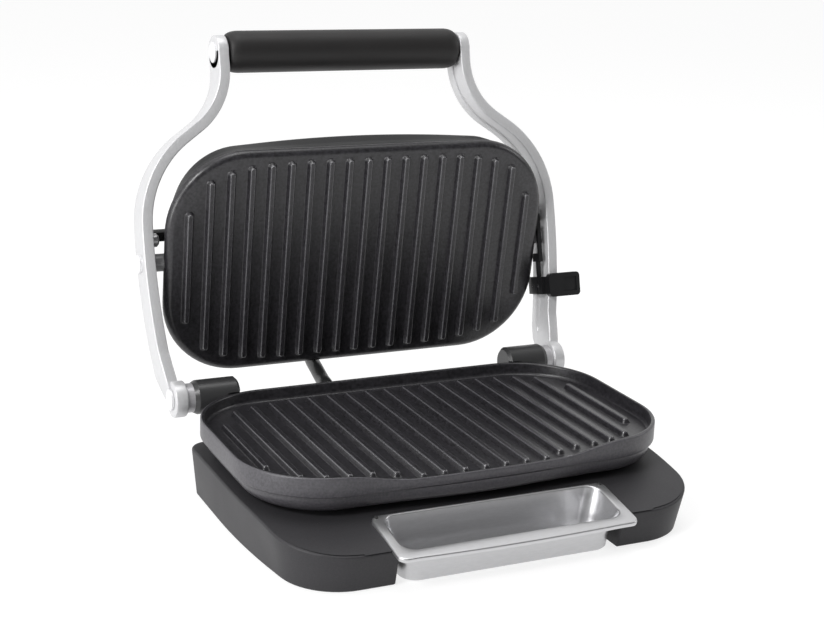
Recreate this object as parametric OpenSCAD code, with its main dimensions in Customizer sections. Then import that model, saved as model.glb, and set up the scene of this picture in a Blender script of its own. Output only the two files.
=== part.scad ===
// Indoor contact grill with a hinged lid, shown with the lid open.
// Origin: middle of the underside, straight below the centre of the lower cooking plate.
// +X is to the right seen from the front, +Y to the back, +Z up.

/* [Cooking plates] */
// Width of the upper cooking plate
plate_w = 302; // [290:1:306]
// Depth of the upper cooking plate
plate_d = 170; // [160:1:172]
// Corner radius of the plates
plate_corner = 59; // [50:1:65]
// How far the lower plate's rim stands out past the upper plate, left and right
lower_out = 2.8; // [1.5:0.1:3]
// Number of ribs on each plate
rib_count = 19; // [15:2:21]
// Distance between two ribs
rib_pitch = 15; // [13:0.5:15.5]
// Height of the ribs over a plate's face
rib_h = 3.5; // [3:0.5:4]
// Height of the lower plate's rim over its ribs
rim_h = 5.6; // [2:0.2:6]
// Thickness of the upper plate behind its ribs
upper_floor_t = 6; // [4:0.5:7]
// How far the pouring lip stands out at the front
lip_out = 2; // [1:0.5:3]
// Height of the lower plate's rib tops over the table
crest_z = 55; // [53:0.5:60]

/* [Base] */
// Width of the base at deck level
base_w = 307; // [304:1:312]
// Distance from the plate's centre to the front of the base
base_front = 131; // [130:1:134]
// Distance from the plate's centre to the back edge of the side walls
base_back = 69; // [66:1:74]
// Height of the flat part of the deck over the table
deck_z = 33.5; // [33:0.1:34]
// How much lower the deck is at its front edge
deck_drop = 8.2; // [7:0.2:9]
// Wall thickness of the base
base_wall = 3; // [2.5:0.5:3.5]
// How far the front wall leans in at the bottom
front_lean = 7; // [4:0.5:9]

/* [Hinge] */
// Distance of the hinge axis behind the upper plate's half depth
hinge_behind = 10; // [10:0.5:12]
// Height of the hinge axis over the table
hinge_z = 57; // [55:0.5:59]
// Radius of the hinge barrels
barrel_r = 12.3; // [11:0.1:12.5]
// Radius of the hinge pins
hinge_pin_r = 5; // [4:0.25:6]

/* [Lid arms] */
// Lean of the open arms to the back, in degrees
arm_lean = 14.3; // [12:0.1:16]
// Thickness of an arm's bar
arm_t = 8; // [6:0.5:9]
// Depth of an arm's bar
arm_depth = 24; // [21:0.5:26]
// Gap between the upper plate's side and an arm at its widest
arm_gap = 7.8; // [7.6:0.2:10]
// How far each arm comes in from its middle to its top
arm_top_in = 65.8; // [61:0.5:71]
// Distance from the head's pivot to the handle's axis, along the arm
arm_rise = 148.8; // [143:1:155]
// Diameter of the handle's grip
grip_d = 30.5; // [26:0.5:34]

/* [Upper head] */
// Lean of the open upper plate to the front, in degrees
head_lean = 7.35; // [5:0.05:9]
// Distance from the hinge to the head's pivot along the arm, less half the plate's depth
pivot_over = 12; // [9:0.5:15]
// Depth of the upper housing behind the plate
head_depth = 34.5; // [32:0.5:38]
// Radius of the pivot pins
pivot_r = 3.6; // [3:0.2:4]

/* [Drip tray] */
// Width of the tray's flange
tray_w = 170; // [166:1:171]
// Depth of the tray's flange, along its slope
tray_d = 50; // [48:0.5:52]
// Slope of the flange to the front, in degrees
tray_slope = 10; // [9:0.5:11]
// Thickness of the tray's sheet
tray_t = 1.2; // [0.8:0.1:1.5]

/* [Lock slider] */
// Distance from the hinge to the slider's middle, along the arm
slider_s = 57; // [54:1:60]
// Width of the slider's thumb tab
tab_w = 27.5; // [22:0.5:30]
// Height of the slider's thumb tab
tab_h = 18.5; // [16:0.5:20]

/* [Hidden] */
$fn = 64;

fit = 0.05;
play = 0.3;

plate_floor_t = 4.5;
plate_t = rib_h + plate_floor_t;
upper_t = rib_h + upper_floor_t;
rib_base = 7.5;
rib_top = 2.6;
rib_edge = 8.5;
rib_reach_power = 4.7;
rib_over_lip = 11.5;

hx = plate_w / 2;
hy = plate_d / 2;

hinge_y = hy + hinge_behind;
pivot_s = hy + pivot_over;
arm_len = pivot_s + arm_rise;

lower_w = plate_w + 2 * lower_out;
lower_d = plate_d + 8;
lower_y = -1;
lower_front = lower_d / 2 - lower_y;
lower_rim = 3;
lip_crown = 95;
lip_low = -1.5;
lip_flat = 50;
lip_end = 106;

pan_bottom = crest_z - 19.7;
pan_in_x = 6.4;
pan_in_y = 3;
pan_corner = plate_corner - 4.5;
pan_bulge = 4;
pan_wall = 1.5;
pan_foot_w = 240;
pan_foot_front = -33;
pan_foot_back = 62;
element_r = 3.25;
element_z = crest_z - plate_t - element_r;

cover_t = 1.2;
base_corner = 46.5;
base_corner_low = base_corner - front_lean;
base_back_r = 12.8;
base_taper = 4;
base_taper_low = 7.5;
side_lean = 2.8;
deck_bend_y = -35;
deck_bend_r = (pow(base_front + deck_bend_y, 2) + pow(deck_drop, 2)) / (2 * deck_drop);
beam_w = 236;
beam_back = hinge_y + 17;
bay_w = tray_w - 11;
bay_back = 88;
bay_wall = 3;

arm_x = hx + arm_gap + arm_t / 2;
arm_top_x = arm_x - arm_top_in;
arm_front = 5.6;
arm_mid = arm_front + arm_depth / 2;
bow_r = 600;
bow_s = pivot_s + 11;
bend_start_s = pivot_s + 27;
bend_r = 76;
return_r = 52;
bend_a = 55;
eye_r = 13;
eye_in = arm_x - 15;
eye_t = 8.8;
pin_head_r = 7.5;
rod_r = 4;
top_r = arm_depth / 2 + 0.3;
band_t = 1.2;
band_w = 10;

pivot_e = arm_front + 12.9;
pivot_above = 2;
pivot_behind = 13.8;
pivot_boss_r = 6.4;
stop_up = 16.1;
stop_r = 5;
pivot_y = hinge_y + pivot_e * cos(arm_lean) + pivot_s * sin(arm_lean);
pivot_z = hinge_z - pivot_e * sin(arm_lean) + pivot_s * cos(arm_lean);

head_side_t = 12;
head_wall = 3;
head_slope = 0.5;
head_first = upper_t + 0.2;
head_straight = head_first + 19.5;
head_top_out = 1;
head_crown = 9;
gland_x = -25;
gland_z = -34;
gland_y = -hy + 8.3;

flange_back_y = -92.5;
flange_back_z = 33.5;
tray_bottom = 0.4;
pocket_half = tray_w / 2 - 7;
tub_half = tray_w / 2 - 10.6;
tub_front = -121.6;

// Points along an arc, from angle a0 to a1
function arc(c, r, a0, a1, n) =
    [for (i = [0:n]) c + r * [cos(a0 + (a1 - a0) * i / n), sin(a0 + (a1 - a0) * i / n)]];

// List in the opposite order
function backwards(list) = [for (i = [len(list) - 1:-1:0]) list[i]];

// Half length of a rib at distance x from the middle, a rounded-off rectangle
function rib_half(x) =
    (hy - rib_edge) * pow(1 - pow(abs(x) / (hx - 14.2), rib_reach_power), 1 / rib_reach_power);

// Smooth step from 1 to 0 between a and b
function fade(x, a, b) =
    abs(x) <= a ? 1 : abs(x) >= b ? 0 : 0.5 + 0.5 * cos(180 * (abs(x) - a) / (b - a));

// Rectangle with round corners, centred
module round_rect(w, d, r) {
    square([w - 2 * r, d], center = true);
    square([w, d - 2 * r], center = true);
    for (sx = [-1, 1], sy = [-1, 1])
        translate([sx * (w / 2 - r), sy * (d / 2 - r)])
            circle(r);
}

// Outline of the upper plate, moved in or out by grow
module upper_outline(grow = 0) {
    round_rect(plate_w + 2 * grow, plate_d + 2 * grow, plate_corner + grow);
}

// Outline of the lower plate, a little larger and a little further forward
module lower_outline(grow = 0) {
    translate([0, lower_y])
        round_rect(lower_w + 2 * grow, lower_d + 2 * grow, plate_corner + grow);
}

// Shallow bulge at the front of the lower plate, out from the line y = -front
module front_bulge(front, out) {
    steps = 24;
    xs = [for (i = [0:steps]) lip_crown * (2 * i / steps - 1)];
    polygon(concat([[lip_crown, -hy / 2], [-lip_crown, -hy / 2]],
        [for (x = xs) [x, -front - out * fade(x, 0, lip_crown)]]));
}

// One rib along Y, with its top at z = 0
module rib(front, back) {
    slope = rib_h / 3;
    intersection() {
        rotate([90, 0, 0])
            translate([0, 0, -back - 1])
                linear_extrude(front + back + 2)
                    polygon([[-rib_base / 2, -rib_h - 0.5], [rib_base / 2, -rib_h - 0.5],
                        [rib_base / 2, -rib_h], [rib_top / 2, 0], [-rib_top / 2, 0],
                        [-rib_base / 2, -rib_h]]);
        rotate([90, 0, 90])
            translate([0, 0, -rib_base])
                linear_extrude(2 * rib_base)
                    polygon([[-front - slope, -rib_h - 1], [back + slope, -rib_h - 1],
                        [back + slope, -rib_h], [back, 0], [-front, 0], [-front - slope, -rib_h]]);
    }
}

// Ribs of one plate, the middle ones longer over a pouring lip
module ribs(lip) {
    middle = (rib_count - 1) / 2;
    for (k = [-middle:middle]) {
        x = k * rib_pitch;
        half = rib_half(x);
        over = abs(k) <= 3 ? lip : abs(k) == 4 ? lip / 3 : 0;
        translate([x, 0, 0])
            rib(half + over, half);
    }
}

// Lower cooking plate: ribs, floor and a raised rim that sinks to a pouring lip at the front
module lower_plate() {
    steps = 20;
    sink = [for (i = [0:steps]) lip_end * (1 - 2 * i / steps)];
    color([0.15, 0.15, 0.16])
        translate([0, 0, crest_z]) {
            difference() {
                translate([0, 0, -plate_t])
                    linear_extrude(plate_t + rim_h) {
                        lower_outline();
                        front_bulge(lower_front, lip_out);
                    }
                translate([0, 0, -rib_h])
                    linear_extrude(rib_h + rim_h + 1) {
                        lower_outline(-lower_rim);
                        front_bulge(lower_front - lower_rim, lip_out);
                    }
                rotate([90, 0, 0])
                    translate([0, 0, hy - 20])
                        linear_extrude(60)
                            polygon(concat([[-lip_end, rim_h + 1], [lip_end, rim_h + 1]],
                                [for (x = sink) [x, rim_h - (rim_h - lip_low) * fade(x, lip_flat, lip_end)]]));
            }
            ribs(rib_over_lip);
        }
}

// Outline of the pan under the lower plate, moved in or out by grow
module pan_outline(grow = 0) {
    translate([0, lower_y])
        round_rect(lower_w - 2 * pan_in_x + 2 * grow, lower_d - 2 * pan_in_y + 2 * grow, pan_corner + grow);
}

// Foot of the pan, in the flat part of the deck
module pan_foot(grow = 0) {
    translate([0, (pan_foot_front + pan_foot_back) / 2])
        round_rect(pan_foot_w + 2 * grow, pan_foot_back - pan_foot_front + 2 * grow, 14 + grow);
}

// Pan under the lower plate that carries it and covers the heater
module lower_pan() {
    depth = crest_z - plate_t - pan_bottom;
    color([0.17, 0.17, 0.18])
        difference() {
            union() {
                translate([0, 0, pan_bottom])
                    linear_extrude(depth) {
                        pan_outline();
                        front_bulge(lower_front - pan_in_y, pan_bulge);
                    }
                translate([0, 0, deck_z])
                    linear_extrude(pan_bottom - deck_z + 1)
                        pan_foot();
            }
            translate([0, 0, pan_bottom + pan_wall])
                linear_extrude(depth)
                    pan_outline(-pan_wall - 1);
            translate([0, 0, deck_z - 1])
                linear_extrude(pan_bottom - deck_z + 1)
                    pan_foot(-3);
        }
}

// Tube heater bent in three loops, tube centre at z = 0
module heater(w, d) {
    run = w - d / 3;
    step = d / 3;
    for (i = [0:3])
        translate([-run / 2, -d / 2 + i * step, 0])
            rotate([0, 90, 0])
                cylinder(r = element_r, h = run);
    for (i = [0:2])
        translate([(i % 2 == 0 ? 1 : -1) * run / 2, -d / 2 + (i + 0.5) * step, 0])
            rotate([0, 0, i % 2 == 0 ? -90 : 90])
                rotate_extrude(angle = 180)
                    translate([step / 2, 0])
                        circle(element_r);
}

module lower_element() {
    color([0.45, 0.44, 0.43])
        translate([0, 0, element_z])
            heater(plate_w - 62, plate_d - 62);
}

// Capsule thermostat held against a plate's underside
module thermostat() {
    cylinder(r = 9, h = 3);
    translate([0, 0, -4])
        cylinder(r = 6, h = 4);
}

module lower_thermostat() {
    color([0.75, 0.73, 0.7])
        translate([0, 0, crest_z - plate_t - 3])
            thermostat();
}

// Outline of the base at one level: front width, side width, front edge, front radius, back edge
function base_outline(wf, w, front, r, back) =
    let (half = concat(
        arc([wf - r, -front + r], r, -90, -4, 12),
        arc([w - 60, deck_bend_y], 60, -4, 0, 2),
        arc([w - base_back_r, back - base_back_r], base_back_r, 0, 90, 8)))
    concat(half, backwards([for (p = half) [-p[0], p[1]]]));

// Outer shape of the base before the deck is rounded off, leaning in to the bottom
module base_block() {
    w = base_w / 2;
    low_w = w - side_lean;
    hull() {
        translate([0, 0, deck_z - 0.5])
            linear_extrude(0.5)
                polygon(base_outline(w - base_taper, w, base_front, base_corner, base_back));
        linear_extrude(0.5)
            polygon(base_outline(w - side_lean - base_taper_low, low_w, base_front - front_lean,
                base_corner_low, base_back - side_lean));
    }
}

// Everything under the deck's surface, which bends down to the front, lowered by drop
module under_deck(drop = 0) {
    r = deck_bend_r + drop;
    c = [deck_bend_y, deck_z - drop - r];
    fall = asin((base_front + 6 + deck_bend_y) / r);
    rotate([90, 0, 90])
        translate([0, 0, -base_w])
            linear_extrude(2 * base_w)
                polygon(concat([[-base_front - 6, -2], [beam_back + 10, -2], [beam_back + 10, deck_z - drop]],
                    arc(c, r, 90, 90 + fall, 12)));
}

// Plane of the tray's flange, with y = 0 at its back edge
module on_flange() {
    translate([0, flange_back_y, flange_back_z])
        rotate([tray_slope, 0, 0])
            children();
}

// Outline of the room inside the base, and of the cover that closes it
module base_room() {
    w = base_w / 2 - side_lean - base_wall;
    front = base_front - front_lean - base_wall;
    difference() {
        union() {
            polygon(base_outline(w - base_taper_low, w, front, base_corner_low - base_wall,
                base_back - side_lean - base_wall));
            translate([0, (beam_back + 20) / 2])
                round_rect(beam_w - 2 * base_wall, beam_back - 20 - 2 * base_wall, 8);
        }
        translate([-bay_w / 2 - bay_wall, -base_front])
            square([bay_w + 2 * bay_wall, base_front - bay_back + bay_wall]);
    }
}

// Dark housing of the base: deck, leaning walls, tray bay and hinge beam
module base_housing() {
    color([0.24, 0.24, 0.25])
        difference() {
            intersection() {
                union() {
                    base_block();
                    linear_extrude(deck_z)
                        translate([0, (beam_back + 20) / 2])
                            round_rect(beam_w, beam_back - 20, 10);
                }
                under_deck();
            }
            intersection() {
                translate([0, 0, -1])
                    linear_extrude(deck_z)
                        base_room();
                under_deck(base_wall);
            }
            translate([-bay_w / 2, -base_front - 5, -1])
                cube([bay_w, base_front + 5 - bay_back, deck_z + 2]);
            translate([0, 0, deck_z - base_wall - 1])
                linear_extrude(base_wall + 2)
                    pan_foot(-10);
            translate([lead_base[0], lead_base[1], deck_z - base_wall - 1])
                cylinder(r = lead_r, h = base_wall + 2);
            translate([mains_x, beam_back + 1, mains_z])
                rotate([90, 0, 0])
                    cylinder(r = 4, h = base_wall + 3);
        }
}

// Sheet cover that closes the base from below
module bottom_cover() {
    color([0.3, 0.3, 0.31])
        difference() {
            linear_extrude(cover_t)
                base_room();
            for (p = foot_places())
                translate([p[0], p[1], -1])
                    cylinder(r = 9, h = cover_t + 2);
            for (p = screw_places())
                translate([p[0], p[1], -1])
                    cylinder(r = 2, h = cover_t + 2);
        }
}

// Where the four pads and the four cover screws sit
function foot_places() = let (x = base_w / 2 - 35.5) [for (s = [-x, x], y = [-88, 46]) [s, y]];
function screw_places() = let (x = beam_w / 2 - 20) [for (s = [-x, x], y = [-40, hinge_y + 1]) [s, y]];

// Rubber pads set flush in the cover, each held from behind by a collar
module foot_pads() {
    color([0.08, 0.08, 0.08])
        for (p = foot_places())
            translate([p[0], p[1], 0]) {
                cylinder(r = 9, h = cover_t);
                translate([0, 0, cover_t])
                    cylinder(r = 11, h = 2);
            }
}

module cover_screws() {
    color([0.6, 0.6, 0.62])
        for (p = screw_places())
            translate([p[0], p[1], 0]) {
                cylinder(r = 2, h = 9);
                translate([0, 0, cover_t])
                    cylinder(r = 3.5, h = 2);
            }
}

// Barrel on a post behind the lower plate that holds one hinge pin
module hinge_bracket() {
    inner = eye_in - play - 38.7;
    outer = eye_in - play - 5.4;
    color([0.12, 0.12, 0.13])
        difference() {
            union() {
                translate([0, hinge_y, hinge_z])
                    rotate([0, 90, 0]) {
                        translate([0, 0, inner])
                            cylinder(r1 = barrel_r - 2, r2 = barrel_r, h = 2);
                        translate([0, 0, inner + 2])
                            cylinder(r = barrel_r, h = outer - inner - 5);
                        translate([0, 0, outer - 3])
                            cylinder(r1 = barrel_r, r2 = barrel_r - 1.6, h = 3);
                    }
                translate([inner + 1, hinge_y - 5, deck_z])
                    cube([beam_w / 2 - inner - 3, 16, hinge_z - deck_z]);
            }
            linear_extrude(crest_z + rim_h + 1)
                lower_outline(0.4);
            translate([inner + 8, hinge_y, hinge_z])
                rotate([0, 90, 0])
                    cylinder(r = hinge_pin_r, h = 60);
        }
}

module hinge_bracket_left() {
    mirror([1, 0, 0])
        hinge_bracket();
}

module hinge_bracket_right() {
    hinge_bracket();
}

// Grey collar between a barrel and its arm
module hinge_collar() {
    color([0.42, 0.43, 0.45])
        translate([eye_in - play - 5.4, hinge_y, hinge_z])
            rotate([0, 90, 0])
                difference() {
                    cylinder(r = barrel_r - 1.8, h = 5.4);
                    translate([0, 0, -1])
                        cylinder(r = hinge_pin_r, h = 8);
                }
}

module hinge_collar_left() {
    mirror([1, 0, 0])
        hinge_collar();
}

module hinge_collar_right() {
    hinge_collar();
}

// Hinge pin with a round head outside the arm
module hinge_pin() {
    from = eye_in - play - 28.5;
    color([0.72, 0.73, 0.75])
        translate([0, hinge_y, hinge_z])
            rotate([0, 90, 0]) {
                translate([0, 0, from])
                    cylinder(r = hinge_pin_r, h = eye_in + eye_t + play - from);
                translate([0, 0, eye_in + eye_t + play])
                    cylinder(r = pin_head_r, h = 1.6);
            }
}

module hinge_pin_left() {
    mirror([1, 0, 0])
        hinge_pin();
}

module hinge_pin_right() {
    hinge_pin();
}

// Rubber gland where the mains lead leaves the back of the base
module mains_gland() {
    color([0.09, 0.09, 0.09])
        translate([mains_x, beam_back, mains_z])
            rotate([-90, 0, 0])
                difference() {
                    union() {
                        cylinder(r = 7, h = 3);
                        cylinder(r1 = 5.5, r2 = 4.5, h = 14);
                    }
                    translate([0, 0, 2])
                        cylinder(r = 3, h = 20);
                }
}

// Arm frame: y back across the arm, z along the arm, from the hinge axis
module in_arm_frame() {
    translate([0, hinge_y, hinge_z])
        rotate([-arm_lean, 0, 0])
            children();
}

// Bar of an arm seen from the front: a slight bow, then an S to the handle
function arm_side(off) =
    let (
        bow_c = [arm_x - bow_r, bow_s],
        a0 = asin(-bow_s / bow_r),
        a1 = asin((bend_start_s - bow_s) / bow_r),
        bend_c = bow_c + (bow_r - bend_r) * [cos(a1), sin(a1)],
        bend_end_x = bend_c[0] + bend_r * cos(bend_a),
        straight = (bend_end_x - arm_top_x - return_r * (1 - cos(bend_a))) / sin(bend_a),
        return_s = bend_c[1] + bend_r * sin(bend_a) + straight * cos(bend_a) + return_r * sin(bend_a)
    )
    concat(
        arc(bow_c, bow_r + off, a0, a1, 10),
        arc(bend_c, bend_r + off, a1, bend_a, 12),
        arc([arm_top_x + return_r, return_s], return_r - off, 180 + bend_a, 180, 12),
        [[arm_top_x + off, arm_len]]
    );

// Arm seen from the side: a straight bar with a foot that reaches forward to the eye
module arm_profile(front, back) {
    polygon([[front, arm_len], [front, 35], [1.8, 20], [0, 12], [0, 0], [9, -9.4], [back, 15],
        [back, arm_len]]);
}

// Silver arm of the lid, right-hand one
module arm() {
    color([0.8, 0.8, 0.81])
        in_arm_frame()
            difference() {
                union() {
                    intersection() {
                        translate([0, arm_front + arm_depth, 0])
                            rotate([90, 0, 0])
                                linear_extrude(arm_front + arm_depth + 14)
                                    polygon(concat(arm_side(arm_t / 2), backwards(arm_side(-arm_t / 2))));
                        rotate([90, 0, 90])
                            linear_extrude(arm_x + 20)
                                arm_profile(arm_front, arm_front + arm_depth);
                    }
                    translate([0, arm_front + arm_depth, 0])
                        rotate([90, 0, 0])
                            linear_extrude(band_w)
                                polygon(concat(
                                    [for (p = arm_side(-arm_t / 2 - band_t)) if (p[1] > 20) p],
                                    backwards([for (p = arm_side(0)) if (p[1] > 20) p])));
                    translate([eye_in, 0, 0])
                        rotate([0, 90, 0])
                            cylinder(r = eye_r, h = eye_t);
                    translate([arm_top_x - arm_t / 2, arm_mid, arm_len])
                        rotate([0, 90, 0])
                            cylinder(r = top_r, h = arm_t);
                }
                translate([eye_in - 10, 0, 0])
                    rotate([0, 90, 0])
                        cylinder(r = hinge_pin_r + fit, h = 30);
                translate([eye_in + eye_t, 0, 0])
                    rotate([0, 90, 0])
                        cylinder(r = pin_head_r + play, h = 10);
                translate([arm_top_x - 20, arm_mid, arm_len])
                    rotate([0, 90, 0])
                        cylinder(r = rod_r, h = 40);
                translate([arm_x - 20, pivot_e, pivot_s])
                    rotate([0, 90, 0])
                        cylinder(r = pivot_r, h = 40);
                translate([arm_x - 20, pivot_e, pivot_s + stop_up])
                    rotate([0, 90, 0])
                        cylinder(r = stop_r - 2, h = 40);
            }
}

module arm_left() {
    mirror([1, 0, 0])
        arm();
}

module arm_right() {
    arm();
}

// Turns a shape drawn along X into place on the handle's axis
module on_handle() {
    in_arm_frame()
        translate([0, arm_mid, arm_len])
            rotate([0, 90, 0])
                children();
}

// Black grip, rounded off a little at both ends
module handle_grip() {
    end = arm_top_x - arm_t / 2 - band_t - 0.2;
    round_l = 9;
    round_d = 3.5;
    side = [for (i = [0:8])
        [grip_d / 2 - round_d + round_d * sin(90 * i / 8), end - round_l + round_l * cos(90 * i / 8)]];
    color([0.1, 0.1, 0.1])
        on_handle()
            rotate_extrude()
                polygon(concat([[rod_r, end]], side,
                    backwards([for (p = side) [p[0], -p[1]]]), [[rod_r, -end]]));
}

module handle_rod() {
    half = arm_top_x + arm_t / 2;
    color([0.7, 0.7, 0.72])
        on_handle()
            translate([0, 0, -half])
                cylinder(r = rod_r, h = 2 * half);
}

// Round caps over the rod's ends, on the outer faces of the arms
module handle_caps() {
    color([0.82, 0.82, 0.83])
        on_handle()
            for (s = [0, 1])
                mirror([0, 0, s])
                    translate([0, 0, arm_top_x + arm_t / 2]) {
                        cylinder(r = 7.5, h = 1);
                        translate([0, 0, 1])
                            cylinder(r1 = 7.5, r2 = 5.5, h = 1);
                    }
}

// Middle of the arm's bar at the height of the pivot
pivot_x = arm_x - bow_r + sqrt(pow(bow_r, 2) - pow(pivot_s - bow_s, 2));

// Pin that carries the upper head in an arm, with a flat head outside
module pivot_pin() {
    from = hx - 13;
    color([0.68, 0.69, 0.71])
        in_arm_frame()
            translate([0, pivot_e, pivot_s])
                rotate([0, 90, 0]) {
                    translate([0, 0, from])
                        cylinder(r = pivot_r, h = pivot_x + arm_t / 2 - from);
                    translate([0, 0, pivot_x + arm_t / 2])
                        cylinder(r = 6.5, h = 1.8);
                }
}

module pivot_pin_left() {
    mirror([1, 0, 0])
        pivot_pin();
}

module pivot_pin_right() {
    pivot_pin();
}

// Short pins on the arms that stop the head's tilt
module stop_pins() {
    tip = hx + 1.5;
    face = pivot_x - arm_t / 2 + 0.1;
    color([0.3, 0.3, 0.32])
        in_arm_frame()
            for (s = [0, 1])
                mirror([s, 0, 0])
                    translate([0, pivot_e, pivot_s + stop_up])
                        rotate([0, 90, 0]) {
                            translate([0, 0, tip])
                                cylinder(r1 = stop_r - 1.5, r2 = stop_r, h = 1.5);
                            translate([0, 0, tip + 1.5])
                                cylinder(r = stop_r, h = face - band_t - tip - 1.5);
                            translate([0, 0, face - band_t - 1])
                                cylinder(r = stop_r - 2, h = arm_t + band_t);
                        }
}

// Head frame: y up the upper plate, z out of its cooking face, from the rib tops
module in_head_frame() {
    translate([0, pivot_y, pivot_z])
        rotate([90 + head_lean, 0, 0])
            translate([0, -pivot_above, pivot_behind])
                children();
}

// Upper cooking plate: a flat casting with ribs
module upper_plate() {
    color([0.15, 0.15, 0.16])
        in_head_frame() {
            translate([0, 0, -upper_t])
                linear_extrude(upper_floor_t)
                    upper_outline();
            ribs(0);
        }
}

// How far the housing lies inside the plate's outline at depth d, at the sides and at the top
function head_in(d) = 1.5 + head_slope * max(0, d - head_first);
function head_in_top(d) = d < head_straight ? 0.7 : head_slope * (d - head_straight) - head_top_out;

// Outline of the housing with a crowned top edge: half width, top, bottom, corner radius, crown
function head_outline(w, up, down, r, crown) =
    let (
        a = w - r,
        drop = crown * pow(a / w, 2),
        half = concat(
            arc([a, r - down], r, -90, 0, 8),
            arc([a, up - drop - r], r, 0, 88, 8),
            [for (i = [4:-1:1]) [a * i / 5, up - crown * pow(a * i / 5 / w, 2)]])
    )
    concat(half, [[0, up]], backwards([for (p = half) [-p[0], p[1]]]));

// Thin slab of the upper housing at depth d behind the rib tops
module head_slab(d, crown, more = 0) {
    cut = head_in(d) + more;
    translate([0, 0, -d])
        linear_extrude(0.4)
            polygon(head_outline(hx - cut, hy - head_in_top(d) - more, hy - cut, plate_corner - cut, crown));
}

// Black housing behind the upper plate, with side bosses, stop lugs and a boss for the lead
module upper_housing() {
    back = upper_t + head_depth;
    boss_out = pivot_x - arm_t / 2 - band_t - play;
    color([0.11, 0.11, 0.12])
        in_head_frame()
            difference() {
                union() {
                    hull() {
                        head_slab(head_first + 0.4, 0);
                        head_slab(head_straight, head_crown);
                        head_slab(back - 8, head_crown);
                        head_slab(back - 2, head_crown, 2);
                        head_slab(back, head_crown, 6);
                    }
                    for (s = [-1, 1]) {
                        translate([s * (hx + boss_out) / 2 - 4 * s, pivot_above, -pivot_behind])
                            rotate([0, 90, 0])
                                cylinder(r = pivot_boss_r, h = boss_out - hx + 8, center = true);
                        translate([s * (hx - 4) - 8.5, stop_lug_y() - 3.5, stop_lug_z() - 8])
                            cube([17, 7, 8]);
                    }
                    translate([gland_x, gland_y, gland_z])
                        rotate([-90, 0, 0])
                            cylinder(r = 9, h = 20);
                }
                difference() {
                    union() {
                        translate([0, 0, -head_first - head_side_t])
                            linear_extrude(head_side_t + 1)
                                upper_outline(-12);
                        translate([0, 0, head_wall - back])
                            linear_extrude(back)
                                upper_outline(-24);
                    }
                    for (s = [-1, 1])
                        translate([s * hx, pivot_above, -pivot_behind - 2])
                            cube([34, 20, 26], center = true);
                }
                translate([-hx - 1, -hy, -upper_t])
                    cube([plate_w + 2, plate_d, upper_t + 1]);
                for (s = [-1, 1])
                    translate([s * hx, pivot_above, -pivot_behind])
                        rotate([0, 90, 0])
                            cylinder(r = pivot_r + fit, h = 34, center = true);
                translate([gland_x, gland_y - 1, gland_z])
                    rotate([-90, 0, 0])
                        cylinder(r = lead_r, h = 30);
            }
}

// Place of the stop lug's face in the head frame, just behind the stop pin
function stop_turn() = arm_lean + head_lean;
function stop_lug_y() = pivot_above + stop_up * cos(stop_turn());
function stop_lug_z() = -pivot_behind - stop_up * sin(stop_turn()) - stop_r - play / 2;

module upper_element() {
    color([0.45, 0.44, 0.43])
        in_head_frame()
            translate([0, 0, -upper_t - element_r])
                heater(plate_w - 62, plate_d - 62);
}

module upper_thermostat() {
    color([0.75, 0.73, 0.7])
        in_head_frame()
            translate([0, 0, -upper_t - 3])
                thermostat();
}

// Rubber gland where the lead enters the lid, on its lower edge
module lead_gland_lid() {
    color([0.08, 0.08, 0.08])
        in_head_frame()
            translate([gland_x, gland_y, gland_z])
                rotate([90, 0, 0])
                    cylinder(r1 = 8, r2 = 6.5, h = gland_h);
}

// Rubber gland on the hinge beam where the lead enters the base
module lead_gland_base() {
    color([0.08, 0.08, 0.08])
        translate([lead_base[0], lead_base[1], deck_z])
            cylinder(r1 = 8, r2 = 6.5, h = gland_h);
}

lead_r = 5.3;
lead_base = [-34, hinge_y + 6];
gland_h = 3;
mains_x = 70;
mains_z = 16;

// Point below the lid gland's mouth, by distance out along the gland's axis
function lid_gland_out(out) =
    let (a = 90 + head_lean, y = gland_y - gland_h - out - pivot_above, z = gland_z + pivot_behind)
    [gland_x, pivot_y + y * cos(a) - z * sin(a), pivot_z + y * sin(a) + z * cos(a)];

// Route of the lead between the two glands
lead_route = [
    [lead_base[0], lead_base[1], deck_z + gland_h + 0.3],
    [lead_base[0], lead_base[1], deck_z + gland_h + 3],
    [lead_base[0], lead_base[1], deck_z + gland_h + 6],
    [-34, hinge_y + 8.5, 47.5], [-33, hinge_y + 15, 50], [-31, hinge_y + 28, 50],
    [-29, hinge_y + 44, 52.5], [-27, hinge_y + 59, 54.5], [-25.5, hinge_y + 69, 57.5],
    lid_gland_out(6), lid_gland_out(3), lid_gland_out(0.4)
];

// Point on a smooth curve through the route, t from 0 to the number of its spans
function route_point(r, t) =
    let (
        n = len(r) - 1,
        i = min(floor(t), n - 1),
        f = t - i,
        p0 = r[max(i - 1, 0)],
        p1 = r[i],
        p2 = r[i + 1],
        p3 = r[min(i + 2, n)]
    )
    0.5 * (2 * p1 + (p2 - p0) * f + (2 * p0 - 5 * p1 + 4 * p2 - p3) * f * f
        + (3 * p1 - p0 - 3 * p2 + p3) * f * f * f);

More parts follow.
